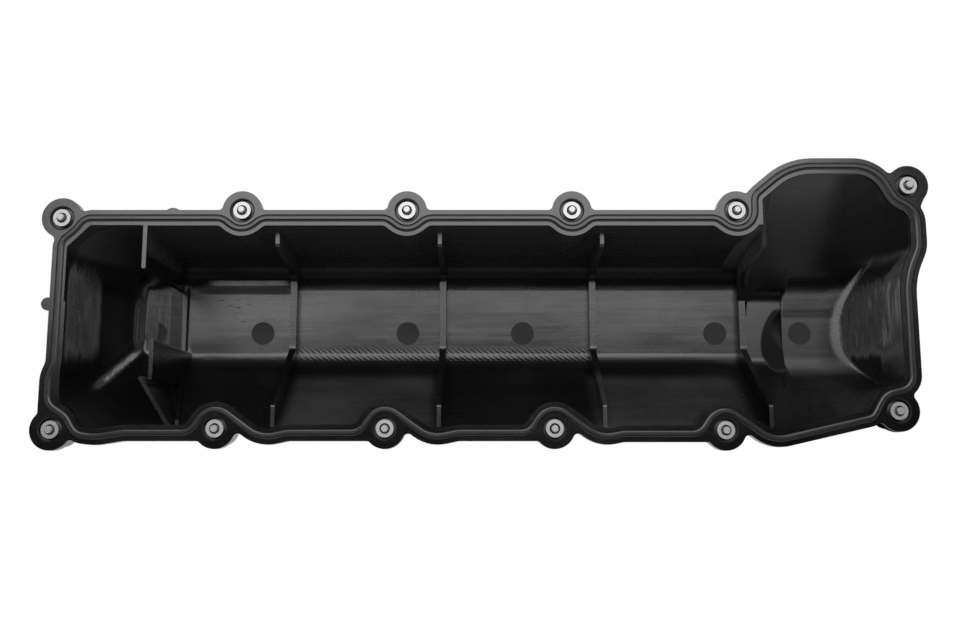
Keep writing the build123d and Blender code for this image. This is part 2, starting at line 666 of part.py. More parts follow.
def washer():
    """Captive washer under the bolt head."""
    ring = Circle(WASHER_RADIUS) - Circle(WASHER_BORE)
    return Pos(0, 0, UNDER_HEAD) * extrude(ring, amount=WASHER_THICKNESS)


def bolt():
    """Captive bolt: pilot end, thread, thinner shank and hexagon head."""
    shoulder = SLEEVE_END + SLEEVE_BEAD_RISE + SLEEVE_BEAD_LENGTH + BOLT_STOP_GAP
    foot = BOLT_TIP - PILOT_LENGTH
    stem = turned([
        (0, BOLT_TIP), (PILOT_RADIUS - PILOT_CHAMFER, BOLT_TIP),
        (PILOT_RADIUS, BOLT_TIP - PILOT_CHAMFER), (PILOT_RADIUS, foot),
        (THREAD_RADIUS, foot + PILOT_RADIUS - THREAD_RADIUS), (THREAD_RADIUS, shoulder),
        (SHANK_RADIUS, shoulder), (SHANK_RADIUS, UNDER_HEAD), (0, UNDER_HEAD),
    ])
    hexagon = RegularPolygon(BOLT_HEAD_WIDTH / 2, 6, major_radius=False)
    return stem + Pos(0, 0, UNDER_HEAD) * extrude(hexagon, amount=-BOLT_HEAD_HEIGHT)


def save(name, solid):
    """Write one piece to its own file."""
    solid.label = name
    export_step(solid, f"parts/{name}.step")


def main():
    """Build every piece and write it in place."""
    os.makedirs("parts", exist_ok=True)
    save("cover", cover())
    save("gasket", gasket())
    makers = {"grommet": grommet, "sleeve": sleeve, "washer": washer, "bolt": bolt}
    for kind, make in makers.items():
        piece = make()
        for number, place in enumerate(FIXINGS, start=1):
            save(f"{kind}_{number:02d}", Pos(*place) * piece)


if __name__ == "__main__":
    main()
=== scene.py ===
import math
import bpy
from bpy.props import (
    BoolProperty,
    FloatProperty,
    FloatVectorProperty,
    IntProperty,
    PointerProperty,
)
from mathutils import Matrix, Vector


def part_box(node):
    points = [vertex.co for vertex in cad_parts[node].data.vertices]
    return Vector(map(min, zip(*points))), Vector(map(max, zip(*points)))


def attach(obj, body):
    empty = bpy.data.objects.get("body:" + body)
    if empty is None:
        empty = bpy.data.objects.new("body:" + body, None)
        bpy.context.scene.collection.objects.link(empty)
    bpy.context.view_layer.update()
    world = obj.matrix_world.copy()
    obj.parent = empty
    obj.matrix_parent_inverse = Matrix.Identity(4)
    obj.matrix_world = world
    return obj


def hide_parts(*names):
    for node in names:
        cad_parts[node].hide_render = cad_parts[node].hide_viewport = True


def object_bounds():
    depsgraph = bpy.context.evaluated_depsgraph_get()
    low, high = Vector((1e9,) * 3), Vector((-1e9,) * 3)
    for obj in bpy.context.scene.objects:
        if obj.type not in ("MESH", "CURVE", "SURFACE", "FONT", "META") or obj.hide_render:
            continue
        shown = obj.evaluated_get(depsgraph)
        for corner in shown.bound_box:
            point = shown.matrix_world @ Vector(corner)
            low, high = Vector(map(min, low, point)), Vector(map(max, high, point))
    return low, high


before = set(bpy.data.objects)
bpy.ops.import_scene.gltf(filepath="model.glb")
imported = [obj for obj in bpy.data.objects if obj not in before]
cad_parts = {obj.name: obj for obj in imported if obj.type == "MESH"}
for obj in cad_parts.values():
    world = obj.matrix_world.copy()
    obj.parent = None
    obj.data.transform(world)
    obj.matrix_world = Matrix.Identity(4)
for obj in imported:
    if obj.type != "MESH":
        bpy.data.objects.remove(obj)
CAD_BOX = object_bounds()

bl_info = {
    "name": "Valve Cover Finish",
    "version": (1, 0, 0),
    "blender": (4, 5, 0),
    "location": "View3D > Sidebar > Valve Cover",
    "description": "Finishes the moulded valve cover, its seal, fixings and studio",
    "category": "Object",
}

DEGREE = math.pi / 180
LEAST_RISE = 0.01
NUMBERS = [f"{number:02d}" for number in range(1, 13)]
LOWEST = CAD_BOX[0].z


def middle(node):
    """Centre of a CAD node at rest, in metres."""
    low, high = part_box(node)
    return (Vector(low) + Vector(high)) / 2


PLACES = {number: middle(f"sleeve_{number}") for number in NUMBERS}


# Node trees

class Value:
    """A number in a node tree; arithmetic on it adds the nodes that work it out."""

    def __init__(self, recipe, socket):
        self.recipe = recipe
        self.socket = socket

    def maths(self, operation, *others):
        return self.recipe.maths(operation, self, *others)

    def __add__(self, other):
        return self.maths("ADD", other)

    def __radd__(self, other):
        return self.recipe.maths("ADD", other, self)

    def __sub__(self, other):
        return self.maths("SUBTRACT", other)

    def __rsub__(self, other):
        return self.recipe.maths("SUBTRACT", other, self)

    def __mul__(self, other):
        return self.maths("MULTIPLY", other)

    def __rmul__(self, other):
        return self.recipe.maths("MULTIPLY", other, self)

    def __truediv__(self, other):
        return self.maths("DIVIDE", other)

    def __rtruediv__(self, other):
        return self.recipe.maths("DIVIDE", other, self)


class Recipe:
    """One node tree under construction."""

    def __init__(self, tree):
        self.tree = tree

    def node(self, kind, settings=None, values=None, output=0):
        """Adds a node: its settings first, then the values or links of its sockets."""
        made = self.tree.nodes.new(kind)
        for name, setting in (settings or {}).items():
            setattr(made, name, setting)
        for name, value in (values or {}).items():
            self.feed(made.inputs[name], value)
        return Value(self, made.outputs[output]) if made.outputs else None

    def feed(self, socket, value):
        """Links a value into a socket, or sets the socket's own number or colour."""
        if isinstance(value, Value):
            self.tree.links.new(value.socket, socket)
        else:
            socket.default_value = value

    def maths(self, operation, *values):
        return self.node("ShaderNodeMath", {"operation": operation}, dict(enumerate(values)))

    def smooth(self, value, low, high):
        """0 below low, 1 above high, with a soft step between."""
        return self.node(
            "ShaderNodeMapRange", {"interpolation_type": "SMOOTHSTEP"},
            {"Value": value, "From Min": low, "From Max": high},
        )

    def band(self, value, low, high, soft):
        """1 between low and high, fading out over a soft width."""
        rise = self.smooth(value, low - soft, low + soft)
        return rise * (1 - self.smooth(value, high - soft, high + soft))

    def zone(self, place, spans):
        """1 inside a box, fading at its edges; a span of None leaves that direction open."""
        share = None
        for value, span in zip(place, spans):
            if span is not None:
                within = self.band(value, *span)
                share = within if share is None else share * within
        return share

    def noise(self, place, scale, detail=2.0, roughness=0.5):
        """Even noise from 0 to 1 about 0.5."""
        return self.node("ShaderNodeTexNoise", {"noise_dimensions": "3D"}, {
            "Vector": place, "Scale": scale, "Detail": detail,
            "Roughness": roughness, "Distortion": 0.0,
        })

    def stretched(self, place, stretch, detail, roughness):
        """Noise that is drawn out by a stretch of its own along X, Y and Z."""
        scaled = [value * factor for value, factor in zip(place, stretch)]
        return self.noise(self.point(*scaled), 1.0, detail, roughness)

    def point(self, x, y, z):
        """A vector from three numbers."""
        return self.node("ShaderNodeCombineXYZ", None, {"X": x, "Y": y, "Z": z})

    def parts(self, vector):
        """The three numbers of a vector."""
        made = self.tree.nodes.new("ShaderNodeSeparateXYZ")
        self.feed(made.inputs[0], vector)
        return [Value(self, output) for output in made.outputs]

    def most(self, *values):
        """The largest of several numbers."""
        largest = values[0]
        for value in values[1:]:
            largest = self.maths("MAXIMUM", largest, value)
        return largest

    def blend(self, share, first, second):
        """Mixes two colours."""
        mixed = self.tree.nodes.new("ShaderNodeMix")
        mixed.data_type = "RGBA"
        self.feed(mixed.inputs[0], share)
        self.feed(mixed.inputs[6], first)
        self.feed(mixed.inputs[7], second)
        return Value(self, mixed.outputs[2])

    def clamp(self, value, low=0.0, high=1.0):
        """A number kept between two limits."""
        return self.node("ShaderNodeClamp", None, {"Value": value, "Min": low, "Max": high})

    def tipped(self, across, along):
        """Upright direction tipped by degrees towards +X and towards +Y."""
        side = self.maths("SINE", self.maths("MULTIPLY", across, DEGREE))
        front = self.maths("SINE", self.maths("MULTIPLY", along, DEGREE))
        rise = self.maths("SQRT", self.most(1 - side * side - front * front, LEAST_RISE))
        return self.point(side, front, rise)

    def turned(self, share, first, second):
        """Turns one direction towards another by a share."""
        mixed = self.tree.nodes.new("ShaderNodeMix")
        mixed.data_type = "VECTOR"
        self.feed(mixed.inputs[0], share)
        self.feed(mixed.inputs[4], first)
        self.feed(mixed.inputs[5], second)
        return self.node(
            "ShaderNodeVectorMath", {"operation": "NORMALIZE"}, {0: Value(self, mixed.outputs[1])}
        )


def rgb(grey, tint=(1.0, 1.0, 1.0)):
    """A grey with a slight tint, as a colour with its alpha."""
    return (grey * tint[0], grey * tint[1], grey * tint[2], 1.0)


def new_material(name):
    """An empty material, its recipe and its millimetre coordinates."""
    material = bpy.data.materials.new(name)
    material.use_nodes = True
    material.node_tree.nodes.clear()
    recipe = Recipe(material.node_tree)
    coordinates = recipe.node("ShaderNodeTexCoord", None, None, "Object")
    scaled = recipe.node(
        "ShaderNodeVectorMath", {"operation": "SCALE"}, {"Vector": coordinates, "Scale": 1000.0}
    )
    return material, recipe, scaled, recipe.parts(scaled)


def finish_surface(material, recipe, colour, roughness, height, bump=1.0, metallic=0.0,
                   level=0.5, facing=None):
    """Ends a material in one Principled shader with bump from a height in millimetres."""
    relief_values = {"Strength": bump, "Distance": 0.001, "Height": height}
    if facing is not None:
        relief_values["Normal"] = facing
    relief = recipe.node("ShaderNodeBump", None, relief_values)
    surface = recipe.node("ShaderNodeBsdfPrincipled", None, {
        "Base Color": colour, "Roughness": roughness, "Metallic": metallic,
        "Specular IOR Level": level, "Normal": relief,
    })
    recipe.node("ShaderNodeOutputMaterial", None, {"Surface": surface})
    return material


# Black moulding
#
# Places on it are in millimetres: X and Y from the middle of the photographed view, and Z
# from the sealing face. A span is (low end, high end, softness), and a step (low, high).
# The moulding's plastic is nearly all gloss, so soft forms that are finer than its mesh are
# shown by turning the normal towards a direction, given as degrees across X and along Y.

MARKS_FROM = (46.5, -70.6)
INSIDE = (-84.5, -1.2, 0.5)
ROOF = (-84.0, -79.0, 1.5)
RIM_FACE = (-0.35, -0.15)
FACES_UP = (-0.08, 0.04)
FIRST_BAY = (-200.0, -134.0, 6.0)
# Bays where the lower wall also gets the painted light of the long walls
PALE_BAYS = ((-126.0, -30.0, 6.0), (76.0, 172.0, 6.0))

PAD_PLACES = ((-229.5, 2.6), (-153.5, 2.6), (-51.0, 2.6), (30.0, 2.6), (166.0, 2.6), (226.0, 2.6))
PAD_RADIUS = 8.2
PAD_EDGE = (-0.35, 0.05)
PAD_FLOOR = (-84.6, -82.4, 0.15)

# Noises: (stretch of X, Y and Z), detail, roughness; or one scale for all three
STREAK_NOISE = (0.012, 0.22, 0.22), 3.0, 0.6
DRAG_NOISE = (0.006, 0.9, 0.9), 2.0, 0.5
DASH_NOISE = (0.16, 1.3, 1.0), 1.0, 0.5
END_BRUSH_NOISE = (0.9, 0.02, 0.05), 3.0, 0.6
END_MOTTLE_NOISE = (0.62, 0.030, 0.24), 4.0, 0.64
RIPPLE_NOISE = (0.010, 0.035, 0.035), 3.0, 0.6
CLOUD_NOISE = 0.018, 3.0, 0.55
GRAIN_NOISE = 1.3, 2.0, 0.6
FINE_NOISE = 5.5, 1.0, 0.5
SPECK_NOISE = 0.75, 1.0, 0.5

# Marks on the roof and the walls
CHATTER_ZONE = (-128.0, 78.0, 4.0), (-17.5, -8.5, 1.5), (-83.5, -74.0, 1.5)
CHATTER_ALONG, CHATTER_DOWN, CHATTER_WANDER = 1.55, 1.9, 2.0
DRAG_ROWS = (-30.0, -17.0, 2.5)
LEDGE_ZONE = FIRST_BAY, (31.0, 35.0, 0.8), ROOF
BRIGHT_LEDGE_ZONE = FIRST_BAY, (36.0, 41.5, 0.8), None
DASH_ZONE = (-190.0, -163.0, 4.0), (18.0, 30.0, 3.0), ROOF
DASH_STEP = (0.64, 0.70)
SPECK_ZONE = (-176.0, -144.0, 4.0), (7.0, 15.0, 2.0), ROOF
SPECK_STEP = (0.66, 0.70)
END_LINE_STEP = (0.5, 0.75)
NARROW_END_STEP = (-243.0, -233.0)
WIDE_END_STEP = (228.0, 240.0)
FLOW_CENTRE, FLOW_PITCH, FLOW_STEP = (34.0, -14.0), 0.35, (0.75, 1.0)
FLOW_RING = (14.0, 22.0, 3.0)
FLOW_RING_CENTRE = (34.0, -4.0)
FLOW_ROWS = (6.0, 10.0)
SAG_ZONE = (-204.0, 186.0, 1.0), (-15.0, 29.0, 2.0), None
SAG_DEPTH = (-82.8, -82.5)
SAG_LOW_ROWS = (-14.0, 12.0)
# Rows and depths of the upper and lower wall, and the tunnel's end, where the long walls get their
# painted light
UPPER_WALL_ROWS, UPPER_WALL_DEPTHS = (40.0, 47.0), (-74.0, -2.0, 4.0)
LOWER_WALL_ROWS, LOWER_WALL_DEPTHS = (-34.0, -26.0), (-78.0, -2.0, 4.0)
TUNNEL_END = (183.0, 192.0)
SPECK_TIP = (0.0, -7.0)
LEAST_ROUGHNESS, MOST_ROUGHNESS = 0.14, 0.8

# Heights of the relief, in millimetres
FINE_HEIGHT, GRAIN_HEIGHT, STREAK_HEIGHT = 0.010, 0.020, 0.06
CHATTER_HEIGHT, DRAG_HEIGHT, BRUSH_DEPTH = 0.035, 0.20, 0.02

# Wide end; a bow is (X at its middle, Y of its middle, bend)
END_BOW = 250.0, 4.0, 0.0062
LENS_BOW = 198.5, -6.0, 0.015
LENS_LEFT_STEP, LENS_RIGHT_STEP = (-1.2, 1.6), (213.5, 214.3)
LENS_ROWS = (-25.0, 19.0, 2.5)
LENS_LEAN = 15
BENCH_STEP = (213.0, 214.4)
BENCH_WAVES = ((14.0, 20.0, 1.2), 3.2), ((20.5, 27.0, 1.5), 1.6)
BENCH_FILLET, TUNNEL_FILLET = (27.0, 47.0), (23.0, 34.0)
WALL_LEAN = 47
LOW_WALL_ROWS, LOW_WALL_LEAN = (-45.0, -12.0), 56
LOW_TURN_ROWS, LOW_TURN_LEAN = (-30.0, -14.0), 4
LOW_CUT = (-19.0, -14.0)
CHAMBER_STEP = (188.3, 189.3)
CHAMBER_TOP = (44.0, 50.0)
END_WALL_ROWS = (-36.0, 62.0, 8.0)
END_WALL_LIT = (-17.0, 33.0, 9.0)
END_WALL_STEP = (-1.0, 3.5)
END_WALL_LEAN = 39
DARK_LEAN = 30
HIGH_CORNER = (222.0, 238.0), (36.0, 52.0)
LOW_CORNER = (224.0, 240.0), (-46.0, -26.0)
RIB_TOP_COLUMNS, RIB_TOP_ROWS = (171.0, 189.5, 0.5), (24.0, 28.0)
RIB_TOP_DEPTHS = (-79.0, -1.2, 1.0)
VALLEY_ROWS, VALLEY_EDGE = (-21.0, 45.0, 5.0), (-1.6, 1.8)
VALLEY_WIDE_ROWS, VALLEY_WIDTH, VALLEY_EXTRA = (-10.0, 12.0, 12.0), 1.5, 1.2
VALLEY_TIP, VALLEY_SHARE = (-9.0, 2.0), 0.85
RIB_TOP_TIP, CORNER_TURN = (0.0, -52.0), 0.95

# Narrow end
NARROW_WALL_STEP, NARROW_WALL_DEPTHS = (-253.5, -248.5), (-38.0, -2.5, 3.0)
NARROW_WALL_ROWS = (-24.0, 36.0, 13.0)
CORNER_START, CORNER_LINE = (-237.2, -10.1), (-0.375, -0.927)
CORNER_WIDTH, CORNER_LENGTH = 4.6, (-1.0, 32.0, 8.0)
CORNER_SHARE, CORNER_FADE = 0.78, 0.006
CORNER_TIP = (8.0, -1.0)
SILL_FOOT_ZONE = (-240.5, -238.3, 1.9), (-8.0, 24.0, 6.0)
SILL_FOOT_TIP, SILL_FOOT_SHARE = (9.0, -2.0), 0.8
BELOW_STEP = (-78.0, -76.5)
LEDGE_BAY = (-195.0, -134.0, 7.0)
# Columns, rows, share, then degrees across, degrees along and their wander
NARROW_FLOOR = (
    ((-235.0, -220.0, 1.5), (-12.0, 34.0, 3.0), 0.9, 0.0, -2.6, 8),
    ((-219.5, -211.0, 0.6), (-12.0, 36.0, 3.0), 0.9, 1.0, -4.2, 0),
    ((-210.2, -205.5, 0.3), (-12.0, 36.0, 4.0), 0.9, -4.0, 5.0, 0),
    (LEDGE_BAY, (30.6, 35.2, 1.0), 0.9, 0.0, -5.5, 0),
    (LEDGE_BAY, (36.6, 41.0, 1.1), 0.85, 0.0, 0.0, 5),
)
WEB_ZONE = (-261.6, -215.0, 0.3), (12.0, 61.0, 0.3)
WEB_CORNER, WEB_STEP, WEB_FACE = (-262.0, 61.6), (14.0, 16.5), (-0.6, -0.3)
WEB_TIP = (0.0, -14.0)


def around(recipe, x, y, place):
    """Distance in the plan from a place, in millimetres."""
    dx, dy = x - place[0], y - place[1]
    return recipe.maths("SQRT", dx * dx + dy * dy)


def bowed(y, bow):
    """X of a bowed line at Y."""
    start, centre, bend = bow
    return (y - centre) * (y - centre) * bend + start


def short_of(recipe, value, step):
    """1 below a step and 0 above it, with a soft change between."""
    return 1 - recipe.smooth(value, *step)


def wheel_pocket_facing(r, facing, x, y, inside):
    """Rounds off the roof of the wide end, with its bench and its wheel pocket."""
    bench_side = r.smooth(x, *BENCH_STEP)
    low_side = short_of(r, y, LOW_WALL_ROWS)
    bench = r.smooth(y, *BENCH_FILLET) * WALL_LEAN
    for rows, lean in BENCH_WAVES:
        bench = bench + r.band(y, *rows) * lean
    fillet = r.smooth(y, *TUNNEL_FILLET) * WALL_LEAN
    lean = fillet + (bench - fillet) * bench_side - low_side * bench_side * LOW_WALL_LEAN
    lens = r.smooth(x - bowed(y, LENS_BOW), *LENS_LEFT_STEP)
    lens = lens * short_of(r, x, LENS_RIGHT_STEP) * r.band(y, *LENS_ROWS)
    across = lens * LENS_LEAN + short_of(r, y, LOW_TURN_ROWS) * bench_side * LOW_TURN_LEAN
    span = r.smooth(x, *CHAMBER_STEP) * short_of(r, y, CHAMBER_TOP) * inside
    low_cut = r.most(r.smooth(y, *LOW_CUT), lens, bench_side)
    return r.turned(span * low_cut, facing, r.tipped(across, lean * -1))


def wide_end_facing(r, facing, x, y, z, inside, mottle):
    """Rounds off the wide end: its end wall, the wall's corners and the valley at its foot."""
    facing = wheel_pocket_facing(r, facing, x, y, inside)
    beyond = x - bowed(y, END_BOW)
    lit = r.band(y, *END_WALL_LIT)
    wall_lean = (mottle - 0.5) * (lit * 44 + 14) - END_WALL_LEAN - (1 - lit) * DARK_LEAN
    wall = r.smooth(beyond, *END_WALL_STEP) * r.band(y, *END_WALL_ROWS) * inside
    facing = r.turned(wall, facing, r.tipped(wall_lean, 0.0))

    columns, rows = HIGH_CORNER
    high_corner = r.smooth(x, *columns) * r.smooth(y, *rows) * inside
    across = (mottle - 0.5) * 20 - 4
    facing = r.turned(high_corner * CORNER_TURN, facing, r.tipped(across, -58.0))
    columns, rows = LOW_CORNER
    low_corner = r.smooth(x, *columns) * short_of(r, y, rows) * inside
    along = (mottle - 0.5) * 8 + 54
    facing = r.turned(low_corner * CORNER_TURN, facing, r.tipped(-28.0, along))

    rib_top = r.band(x, *RIB_TOP_COLUMNS) * r.smooth(y, *RIB_TOP_ROWS)
    rib_top = rib_top * r.band(z, *RIB_TOP_DEPTHS) * inside
    facing = r.turned(rib_top * CORNER_TURN, facing, r.tipped(*RIB_TOP_TIP))

    width = r.band(y, *VALLEY_WIDE_ROWS) * VALLEY_EXTRA + VALLEY_WIDTH
    valley = short_of(r, r.maths("ABSOLUTE", beyond) - width, VALLEY_EDGE)
    valley = valley * r.band(y, *VALLEY_ROWS) * inside
    return r.turned(valley * VALLEY_SHARE, facing, r.tipped(*VALLEY_TIP))


def narrow_end_facing(r, facing, x, y, z, inside, mottle):
    """Rounds off the narrow end: its end wall, its corner valley, its sill and first bay."""
    wall = short_of(r, x, NARROW_WALL_STEP) * r.band(z, *NARROW_WALL_DEPTHS)
    wall = wall * r.band(y, *NARROW_WALL_ROWS) * inside
    facing = r.turned(wall, facing, r.tipped(END_WALL_LEAN - (mottle - 0.5) * 56, 0.0))

    dx, dy = x - CORNER_START[0], y - CORNER_START[1]
    across_line = dx * -CORNER_LINE[1] + dy * CORNER_LINE[0]
    along_line = dx * CORNER_LINE[0] + dy * CORNER_LINE[1]
    valley = short_of(r, r.maths("ABSOLUTE", across_line), (0.0, CORNER_WIDTH))
    valley = valley * r.band(along_line, *CORNER_LENGTH) * inside
    share = CORNER_SHARE - along_line * CORNER_FADE + (mottle - 0.5) * 0.5
    facing = r.turned(valley * share, facing, r.tipped(*CORNER_TIP))

    foot = r.zone((x, y), SILL_FOOT_ZONE) * inside
    facing = r.turned(foot * SILL_FOOT_SHARE, facing, r.tipped(*SILL_FOOT_TIP))
    below = short_of(r, z, BELOW_STEP) * inside
    for columns, rows, share, across, along, wander in NARROW_FLOOR:
        patch = r.zone((x, y), (columns, rows)) * below
        facing = r.turned(patch * share, facing, r.tipped(across, (mottle - 0.5) * wander + along))
    return facing


def mouth_web(r, x, y, z):
    """The part of the rim that closes the mouth's corner at the narrow end."""
    corner = (x - WEB_CORNER[0]) - (y - WEB_CORNER[1])
    return r.smooth(corner, *WEB_STEP) * r.zone((x, y), WEB_ZONE) * r.smooth(z, *WEB_FACE)


def round_pads(r, x, y, z):
    """1 on the round pads that are sunk in the roof."""
    discs = 0.0
    for pad in PAD_PLACES:
        edge = around(r, x, y, pad) - PAD_RADIUS
        discs = discs + short_of(r, edge, PAD_EDGE)
    return r.clamp(discs * r.band(z, *PAD_FLOOR))


def painted_wall_light_share(r, x, y, z, cloud, streak, grain):
    """Share of the painted light on the long walls: a lighter grey that stands in for the light
    they catch, mottled at random.
    """
    upper = r.smooth(y, *UPPER_WALL_ROWS) * r.band(z, *UPPER_WALL_DEPTHS)
    lower = short_of(r, y, LOWER_WALL_ROWS) * r.band(z, *LOWER_WALL_DEPTHS)
    pale_bays = r.band(x, *PALE_BAYS[0]) + r.band(x, *PALE_BAYS[1])
    painted_wall_light = upper * (1.2 - r.smooth(x, *TUNNEL_END) * 0.9)
    painted_wall_light = painted_wall_light + lower * pale_bays * (streak * 0.6 + cloud * 0.9)
    return r.clamp(painted_wall_light * (cloud * 0.8 + 0.6) * (0.4 + grain * 1.2))


def cover_plastic(finish):
    """Black glass-filled plastic with the marks that its mould left on it, and painted light on
    its long walls.
    """
    material, r, place, (x, y, z) = new_material("cover_plastic")
    x, y = x - MARKS_FROM[0], y - MARKS_FROM[1]
    spot = x, y, z
    geometry = r.node("ShaderNodeNewGeometry", None, None, "Normal")
    inside = r.band(z, *INSIDE) * r.smooth(r.parts(geometry)[2], *FACES_UP)
    roof = r.band(z, *ROOF)
    rim = r.smooth(z, *RIM_FACE)

    cloud = r.noise(place, *CLOUD_NOISE)
    streak = r.stretched(spot, *STREAK_NOISE)
    grain = r.noise(place, *GRAIN_NOISE)
    fine = r.noise(place, *FINE_NOISE)
    mottle = r.stretched(spot, *END_MOTTLE_NOISE)
    ripple = r.stretched(spot, *RIPPLE_NOISE)

    discs = round_pads(r, x, y, z)
    wave = x * CHATTER_ALONG + y * CHATTER_DOWN + streak * CHATTER_WANDER
    chatter = r.maths("SINE", wave) * r.zone(spot, CHATTER_ZONE)
    drag = (r.stretched(spot, *DRAG_NOISE) - 0.5) * r.band(y, *DRAG_ROWS) * inside
    ledge = r.zone(spot, LEDGE_ZONE)
    bright_ledge = r.zone(spot, BRIGHT_LEDGE_ZONE) * inside
    dash = r.smooth(r.stretched(spot, *DASH_NOISE), *DASH_STEP) * r.zone(spot, DASH_ZONE)
    speck = r.smooth(r.noise(place, *SPECK_NOISE), *SPECK_STEP) * r.zone(spot, SPECK_ZONE)
    ends = short_of(r, x, NARROW_END_STEP) + r.smooth(x, *WIDE_END_STEP)
    end_lines = r.smooth(r.stretched(spot, *END_BRUSH_NOISE), *END_LINE_STEP) * ends * inside
    flow = r.smooth(r.maths("SINE", around(r, x, y, FLOW_CENTRE) * FLOW_PITCH), *FLOW_STEP)
    flow = flow * r.band(around(r, x, y, FLOW_RING_CENTRE), *FLOW_RING)
    flow = flow * r.smooth(y, *FLOW_ROWS) * roof

    web = mouth_web(r, x, y, z)
    facing = wide_end_facing(r, geometry, x, y, z, inside, mottle)
    facing = narrow_end_facing(r, facing, x, y, z, inside, mottle)
    facing = r.turned(web, facing, r.tipped(*WEB_TIP))
    sagging = r.zone(spot, SAG_ZONE) * short_of(r, z, SAG_DEPTH) * inside
    sag_lean = (ripple - 0.5) * 9 - short_of(r, y, SAG_LOW_ROWS) * 1.3
    facing = r.turned(sagging, facing, r.tipped((cloud - 0.5) * 5, sag_lean))
    facing = r.turned(r.clamp(dash + speck), facing, r.tipped(*SPECK_TIP))

    dull = r.clamp(discs * 0.95 + ledge * 0.75 + dash * 0.7 + speck * 0.8)
    roughness = finish.roughness + (cloud - 0.5) * 0.14 + (streak - 0.5) * 0.07
    roughness = roughness + dull * 0.40 - bright_ledge * 0.05 - flow * 0.08
    roughness = roughness - rim * 0.09 + (grain - 0.5) * 0.05
    roughness = r.clamp(roughness, LEAST_ROUGHNESS, MOST_ROUGHNESS)

    dust = r.clamp(r.smooth(cloud, 0.45, 0.75) * 0.6 + r.smooth(streak, 0.5, 0.8) * 0.5)
    # Painted light: a lighter grey on the long walls stands in for the light they catch.
    painted_wall_light = painted_wall_light_share(r, x, y, z, cloud, streak, grain)
    base = rgb(finish.grey, (1.0, 1.0, 1.03))
    colour = r.blend(dust * 0.6, base, rgb(finish.grey * 2.4))
    colour = r.blend(painted_wall_light, colour, rgb(finish.painted_wall_light))
    colour = r.blend(dull * 0.7, colour, rgb(finish.grey * 0.6))
    colour = r.blend(r.clamp(rim - web), colour, rgb(finish.grey * 0.3))

    height = (fine - 0.5) * FINE_HEIGHT + (grain - 0.5) * GRAIN_HEIGHT
    height = height + chatter * CHATTER_HEIGHT + drag * DRAG_HEIGHT
    height = height - end_lines * BRUSH_DEPTH + (streak - 0.5) * STREAK_HEIGHT * inside
    return finish_surface(
        material, r, colour, roughness, height, finish.relief, level=1.0, facing=facing
    )


# Rubber and steel; the noises as above, the heights in millimetres

RUBBER_CLOUD_NOISE = 0.05, 2.0, 0.5
RUBBER_GRAIN_NOISE, RUBBER_GRAIN_HEIGHT = (3.0, 2.0, 0.6), 0.03
STEEL_CLOUD_NOISE = 0.25, 3.0, 0.6
STEEL_GRAIN_NOISE, STEEL_GRAIN_HEIGHT = (6.0, 1.0, 0.5), 0.008
TURNING_PER_RADIUS, TURNING_PER_DEPTH, TURNING_HEIGHT = 4.0, 2.0, 0.03


def seal_rubber(finish):
    """Dark rubber with a soft sheen and a faint moulded grain."""
    material, r, place, _ = new_material("seal_rubber")
    cloud = r.noise(place, *RUBBER_CLOUD_NOISE)
    grain = r.noise(place, *RUBBER_GRAIN_NOISE)
    colour = r.blend(cloud, rgb(finish.grey), rgb(finish.grey * 1.7))
    roughness = r.clamp(finish.roughness + (cloud - 0.5) * 0.15 + (grain - 0.5) * 0.1, 0.2, 0.9)
    height = (grain - 0.5) * RUBBER_GRAIN_HEIGHT
    return finish_surface(material, r, colour, roughness, height, level=1.0)


def plated_steel(finish, number):
    """Plated steel of one fixing, with the turning marks round its axis."""
    centre = PLACES[number] * 1000
    material, r, place, (x, y, z) = new_material(f"plated_steel_{number}")
    radius = around(r, x, y, (centre.x, centre.y))
    rings = r.point(radius * TURNING_PER_RADIUS, 0.0, z * TURNING_PER_DEPTH)
    turning = r.noise(rings, 1.0)
    cloud = r.noise(place, *STEEL_CLOUD_NOISE)
    grain = r.noise(place, *STEEL_GRAIN_NOISE)
    colour = r.blend(cloud, rgb(finish.grey * 0.86, (1.0, 1.0, 0.985)), rgb(finish.grey))
    roughness = r.clamp(
        finish.roughness + (turning - 0.5) * 0.25 + (cloud - 0.5) * 0.12, 0.12, 0.8
    )
    height = (turning - 0.5) * TURNING_HEIGHT + (grain - 0.5) * STEEL_GRAIN_HEIGHT
    return finish_surface(material, r, colour, roughness, height, metallic=1.0)


def dress(node, material):
    """Gives a CAD node a better material."""
    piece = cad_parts[node]
    if not piece.material_slots:
        piece.data.materials.append(material)
    for slot in piece.material_slots:
        slot.link = "OBJECT"
        slot.material = material


# Bolts, in metres

TIP_CHAMFER = 0.0005
ROOT_STEP = 0.0003
THREAD_GAP = 0.0004
RUN_OUT = 0.0007
SHANK_FILLET = (0.0002, 0.0004)
HEAD_CHAMFER = 0.0007
HEAD_FACE = 0.93
CRISP_ANGLE = 35
STEM_SEGMENTS = 32
HEAD_SIDES, POINTS_PER_SIDE = 6, 8
# The thread's ridge: half width as a share of the pitch, then shares of depth and half width
RIDGE_HALF, RIDGE_SUNK, RIDGE_CREST = 0.42, -0.15, 0.14


def skin(rings, count):
    """Faces between rings of points, top to bottom; a ring of one point closes an end."""
    faces = []
    for upper, lower in zip(rings, rings[1:]):
        for step in range(count):
            ahead = (step + 1) % count
            if len(upper) == 1:
                faces.append((upper[0], lower[step], lower[ahead]))
            elif len(lower) == 1:
                faces.append((upper[ahead], upper[step], lower[0]))
            else:
                faces.append((upper[ahead], upper[step], lower[step], lower[ahead]))
    return faces


def lathe(points, segments):
    """Closed solid of revolution about Z from (radius, height) points, top to bottom."""
    verts, rings = [], []
    for radius, height in points:
        if radius == 0:
            rings.append([len(verts)])
            verts.append((0.0, 0.0, height))
            continue
        ring = []
        for step in range(segments):
            angle = 2 * math.pi * step / segments
            ring.append(len(verts))
            verts.append((radius * math.cos(angle), radius * math.sin(angle), height))
        rings.append(ring)
    return verts, skin(rings, segments)


